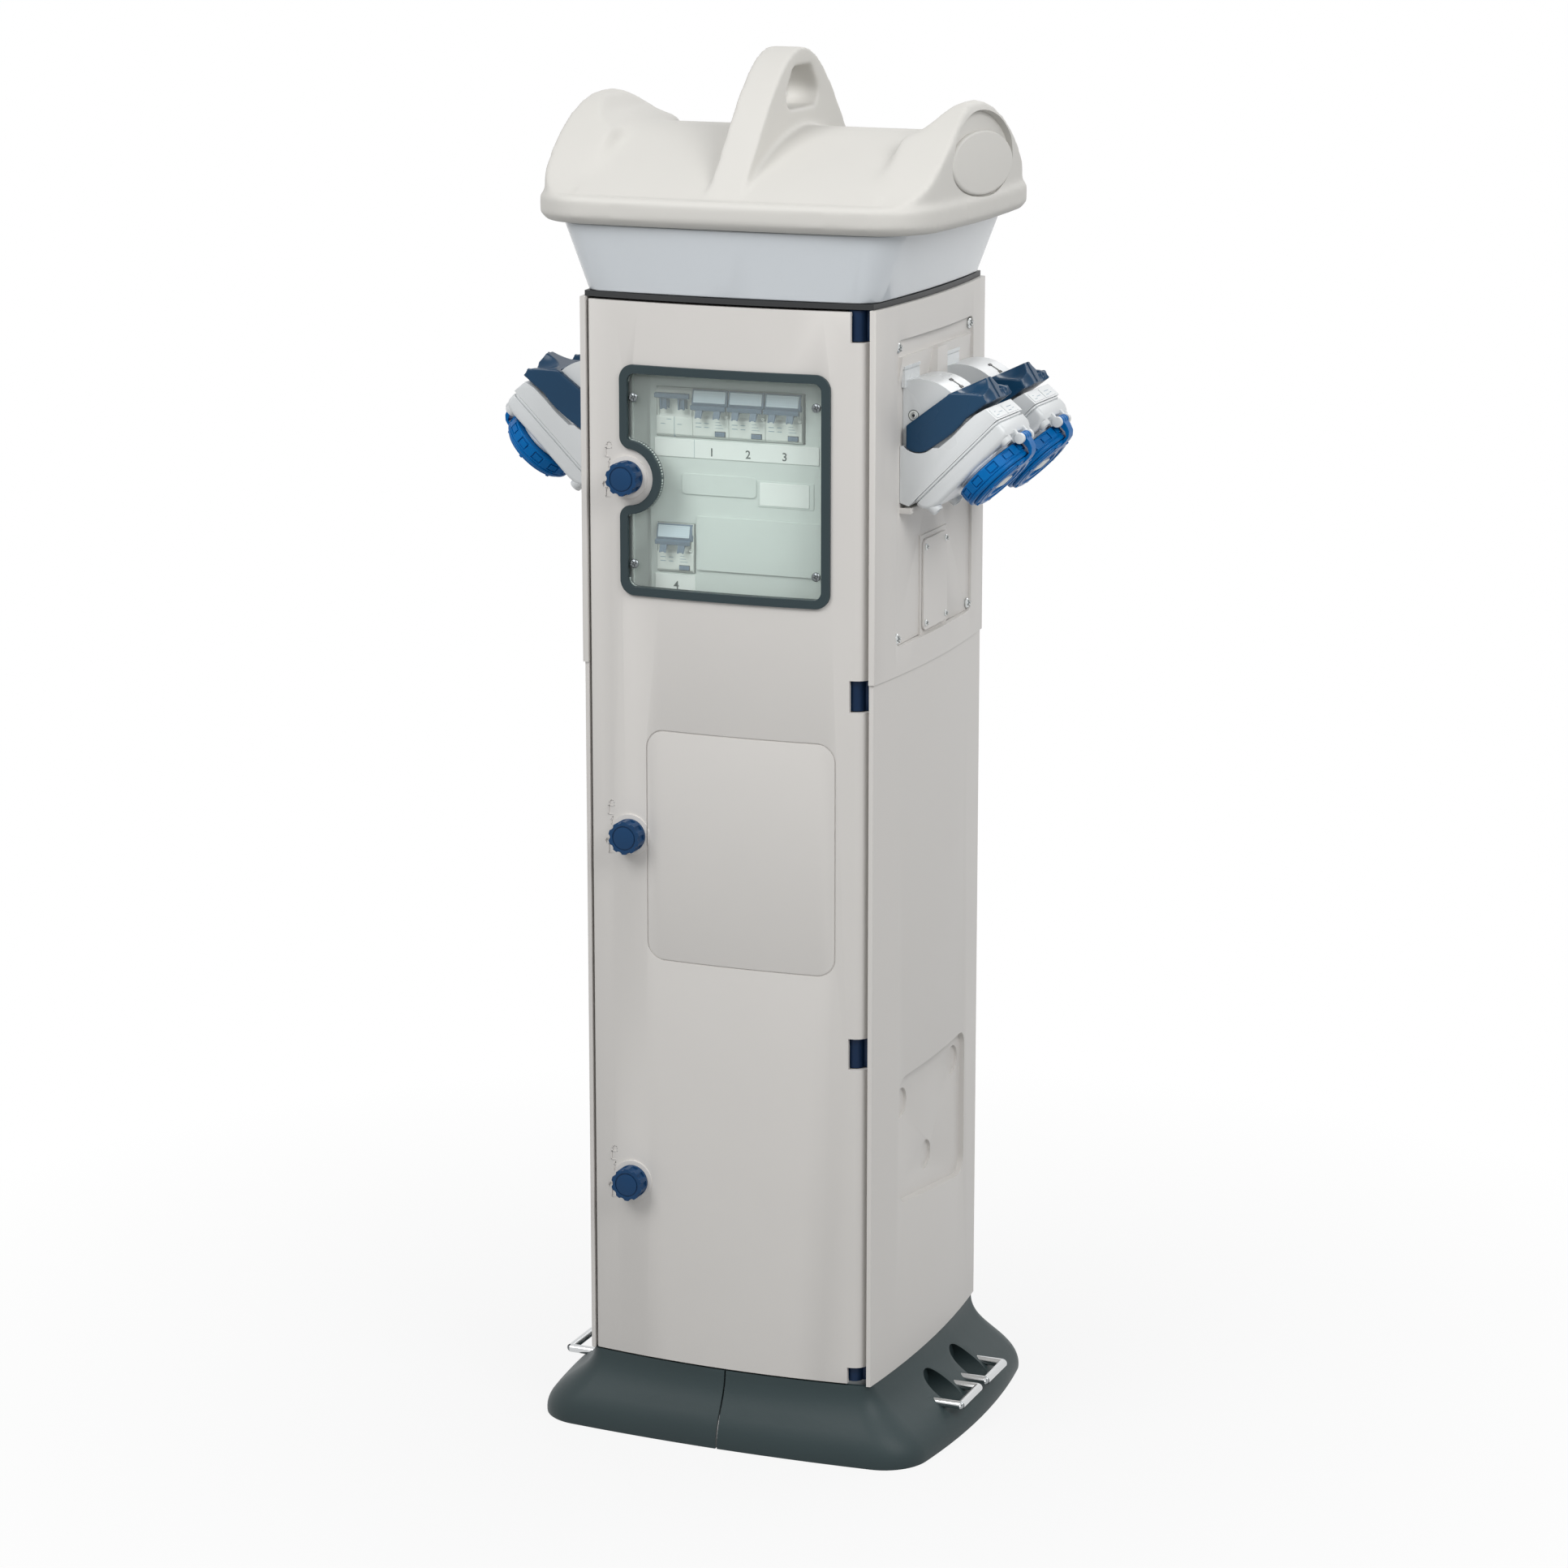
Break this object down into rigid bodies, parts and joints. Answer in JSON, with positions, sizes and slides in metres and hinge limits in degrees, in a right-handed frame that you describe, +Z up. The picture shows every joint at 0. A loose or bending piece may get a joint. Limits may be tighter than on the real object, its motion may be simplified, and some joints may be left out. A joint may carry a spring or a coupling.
{
  "type": "campsite power pedestal",
  "caption": "Free-standing outdoor supply pedestal with a hinged door, windowed breaker bay, switched side sockets, opal light head, lifting eye and cord hooks.",
  "frame": {"origin": "centre of the footprint, on the ground", "axes": "+Z up, -Y towards the door, +X towards the hinge side"},
  "size_m": [0.5318, 0.3482, 1.292],
  "materials": {
    "column_plastic": "fine-grained moulded polymer, light warm grey",
    "lid_plastic": "lightly textured moulded polymer, light warm grey",
    "opal_plastic": "smooth opal light diffuser",
    "lever_plastic": "smooth dark blue polymer",
    "knob_plastic": "smooth dark blue polymer",
    "ring_plastic": "satin signal blue polymer",
    "socket_plastic": "smooth pale cool grey polymer",
    "gasket_rubber": "soft dark grey moulding",
    "seal_rubber": "foam seal, black",
    "clear_pane": "clear polycarbonate with a faint green tint",
    "foot_plastic": "moulded dark green-grey polymer",
    "hook_chrome": "polished round bar",
    "screw_steel": "bright zinc-plated steel",
    "frame_steel": "galvanised sheet steel",
    "device_plastic": "light grey device housing",
    "toggle_plastic": "slate blue toggle",
    "button_plastic": "slate blue push button",
    "board_plastic": "light grey cover board",
    "gland_plastic": "black polymer cable entry",
    "terminal_plastic": "grey terminal blocks",
    "lamp_glass": "frosted white lamp globe",
    "holder_plastic": "white lamp holder"
  },
  "bodies": {
    "column": {"side_panels": "column_plastic", "back_panel": "column_plastic", "bottom_plate": "frame_steel", "base_frame": "frame_steel", "skirts": "foot_plastic", "stop_frame": "frame_steel", "uprights": "frame_steel", "din_rails": "frame_steel", "inner_panel": "board_plastic", "main_switch": "device_plastic", "breakers": "device_plastic", "terminal_block": "terminal_plastic", "cable_glands": "gland_plastic", "cord_hooks": "hook_chrome", "hinge_brackets": "knob_plastic", "hinge_pins": "screw_steel", "socket_frames": "column_plastic", "socket_panels": "column_plastic", "blank_plates": "column_plastic", "panel_screws": "screw_steel", "socket_bodies": "socket_plastic", "socket_covers": "socket_plastic", "socket_inserts": "ring_plastic", "top_frame": "frame_steel", "lamp_holder": "holder_plastic", "lamp_bulb": "lamp_glass", "diffuser": "opal_plastic", "lid": "lid_plastic"},
    "door": {"front_door": "column_plastic", "window_gasket": "gasket_rubber", "window_pane": "clear_pane", "window_screws": "screw_steel", "door_seal": "seal_rubber"},
    "main_toggle": {"main_toggle": "toggle_plastic"},
    "knob_upper": {"knob_upper": "knob_plastic", "latch_cam_upper": "knob_plastic"},
    "knob_middle": {"knob_middle": "knob_plastic", "latch_cam_middle": "knob_plastic"},
    "knob_lower": {"knob_lower": "knob_plastic", "latch_cam_lower": "knob_plastic"},
    "toggle_1": {"breaker_toggle_1": "toggle_plastic"},
    "toggle_2": {"breaker_toggle_2": "toggle_plastic"},
    "toggle_3": {"breaker_toggle_3": "toggle_plastic"},
    "toggle_4": {"breaker_toggle_4": "toggle_plastic"},
    "button_1": {"test_button_1": "button_plastic"},
    "button_2": {"test_button_2": "button_plastic"},
    "button_3": {"test_button_3": "button_plastic"},
    "button_4": {"test_button_4": "button_plastic"},
    "lever_1": {"socket_lever_1": "lever_plastic"},
    "socket_lid_1": {"socket_lid_1": "ring_plastic"},
    "ring_1": {"lid_ring_1": "ring_plastic"},
    "lever_2": {"socket_lever_2": "lever_plastic"},
    "socket_lid_2": {"socket_lid_2": "ring_plastic"},
    "ring_2": {"lid_ring_2": "ring_plastic"},
    "lever_3": {"socket_lever_3": "lever_plastic"},
    "socket_lid_3": {"socket_lid_3": "ring_plastic"},
    "ring_3": {"lid_ring_3": "ring_plastic"},
    "lever_4": {"socket_lever_4": "lever_plastic"},
    "socket_lid_4": {"socket_lid_4": "ring_plastic"},
    "ring_4": {"lid_ring_4": "ring_plastic"}
  },
  "joints": [
    {"name": "door_hinge", "type": "hinge", "parent": "column", "child": "door", "pos_m": [0.122, -0.13, 0.57], "axis": [0, 0, 1], "range_deg": [0, 90]},
    {"name": "knob_turn_upper", "type": "hinge", "parent": "door", "child": "knob_upper", "pos_m": [-0.0945, -0.15, 0.912], "axis": [0, -1, 0], "range_deg": [0, 90]},
    {"name": "knob_turn_middle", "type": "hinge", "parent": "door", "child": "knob_middle", "pos_m": [-0.0945, -0.15, 0.578], "axis": [0, -1, 0], "range_deg": [0, 90]},
    {"name": "knob_turn_lower", "type": "hinge", "parent": "door", "child": "knob_lower", "pos_m": [-0.0945, -0.15, 0.244], "axis": [0, -1, 0], "range_deg": [0, 90]},
    {"name": "main_switch_toggle", "type": "hinge", "parent": "column", "child": "main_toggle", "pos_m": [-0.05835, -0.119, 0.974], "axis": [1, 0, 0], "range_deg": [0, 40]},
    {"name": "breaker_toggle_turn_1", "type": "hinge", "parent": "column", "child": "toggle_1", "pos_m": [-0.02275, -0.119, 0.974], "axis": [1, 0, 0], "range_deg": [0, 40]},
    {"name": "breaker_toggle_turn_2", "type": "hinge", "parent": "column", "child": "toggle_2", "pos_m": [0.01285, -0.119, 0.974], "axis": [1, 0, 0], "range_deg": [0, 40]},
    {"name": "breaker_toggle_turn_3", "type": "hinge", "parent": "column", "child": "toggle_3", "pos_m": [0.04845, -0.119, 0.974], "axis": [1, 0, 0], "range_deg": [0, 40]},
    {"name": "breaker_toggle_turn_4", "type": "hinge", "parent": "column", "child": "toggle_4", "pos_m": [-0.05835, -0.119, 0.849], "axis": [1, 0, 0], "range_deg": [0, 40]},
    {"name": "test_button_press_1", "type": "slide", "parent": "column", "child": "button_1", "axis": [0, 1, 0], "range_m": [0, 0.0015], "stiffness_N_per_m": 300, "springref_m": -0.002},
    {"name": "test_button_press_2", "type": "slide", "parent": "column", "child": "button_2", "axis": [0, 1, 0], "range_m": [0, 0.0015], "stiffness_N_per_m": 300, "springref_m": -0.002},
    {"name": "test_button_press_3", "type": "slide", "parent": "column", "child": "button_3", "axis": [0, 1, 0], "range_m": [0, 0.0015], "stiffness_N_per_m": 300, "springref_m": -0.002},
    {"name": "test_button_press_4", "type": "slide", "parent": "column", "child": "button_4", "axis": [0, 1, 0], "range_m": [0, 0.0015], "stiffness_N_per_m": 300, "springref_m": -0.002},
    {"name": "lever_lift_1", "type": "hinge", "parent": "column", "child": "lever_1", "pos_m": [0.162, -0.052, 0.96], "axis": [0, -1, 0], "range_deg": [0, 55]},
    {"name": "socket_lid_open_1", "type": "hinge", "parent": "column", "child": "socket_lid_1", "pos_m": [0.25117, -0.052, 0.95556], "axis": [0, -1, 0], "range_deg": [0, 110], "stiffness_Nm_per_rad": 0.05, "springref_deg": -57.3},
    {"name": "lid_ring_turn_1", "type": "hinge", "parent": "socket_lid_1", "child": "ring_1", "pos_m": [0.22522, -0.052, 0.9207], "axis": [0.7071, 0, -0.7071], "range_deg": [0, 30]},
    {"name": "lever_lift_2", "type": "hinge", "parent": "column", "child": "lever_2", "pos_m": [0.162, 0.052, 0.96], "axis": [0, -1, 0], "range_deg": [0, 55]},
    {"name": "socket_lid_open_2", "type": "hinge", "parent": "column", "child": "socket_lid_2", "pos_m": [0.25117, 0.052, 0.95556], "axis": [0, -1, 0], "range_deg": [0, 110], "stiffness_Nm_per_rad": 0.05, "springref_deg": -57.3},
    {"name": "lid_ring_turn_2", "type": "hinge", "parent": "socket_lid_2", "child": "ring_2", "pos_m": [0.22522, 0.052, 0.9207], "axis": [0.7071, 0, -0.7071], "range_deg": [0, 30]},
    {"name": "lever_lift_3", "type": "hinge", "parent": "column", "child": "lever_3", "pos_m": [-0.162, -0.052, 0.96], "axis": [0, 1, 0], "range_deg": [0, 55]},
    {"name": "socket_lid_open_3", "type": "hinge", "parent": "column", "child": "socket_lid_3", "pos_m": [-0.25117, -0.052, 0.95556], "axis": [0, 1, 0], "range_deg": [0, 110], "stiffness_Nm_per_rad": 0.05, "springref_deg": -57.3},
    {"name": "lid_ring_turn_3", "type": "hinge", "parent": "socket_lid_3", "child": "ring_3", "pos_m": [-0.22522, -0.052, 0.9207], "axis": [-0.7071, 0, -0.7071], "range_deg": [0, 30]},
    {"name": "lever_lift_4", "type": "hinge", "parent": "column", "child": "lever_4", "pos_m": [-0.162, 0.052, 0.96], "axis": [0, 1, 0], "range_deg": [0, 55]},
    {"name": "socket_lid_open_4", "type": "hinge", "parent": "column", "child": "socket_lid_4", "pos_m": [-0.25117, 0.052, 0.95556], "axis": [0, 1, 0], "range_deg": [0, 110], "stiffness_Nm_per_rad": 0.05, "springref_deg": -57.3},
    {"name": "lid_ring_turn_4", "type": "hinge", "parent": "socket_lid_4", "child": "ring_4", "pos_m": [-0.22522, 0.052, 0.9207], "axis": [-0.7071, 0, -0.7071], "range_deg": [0, 30]}
  ]
}
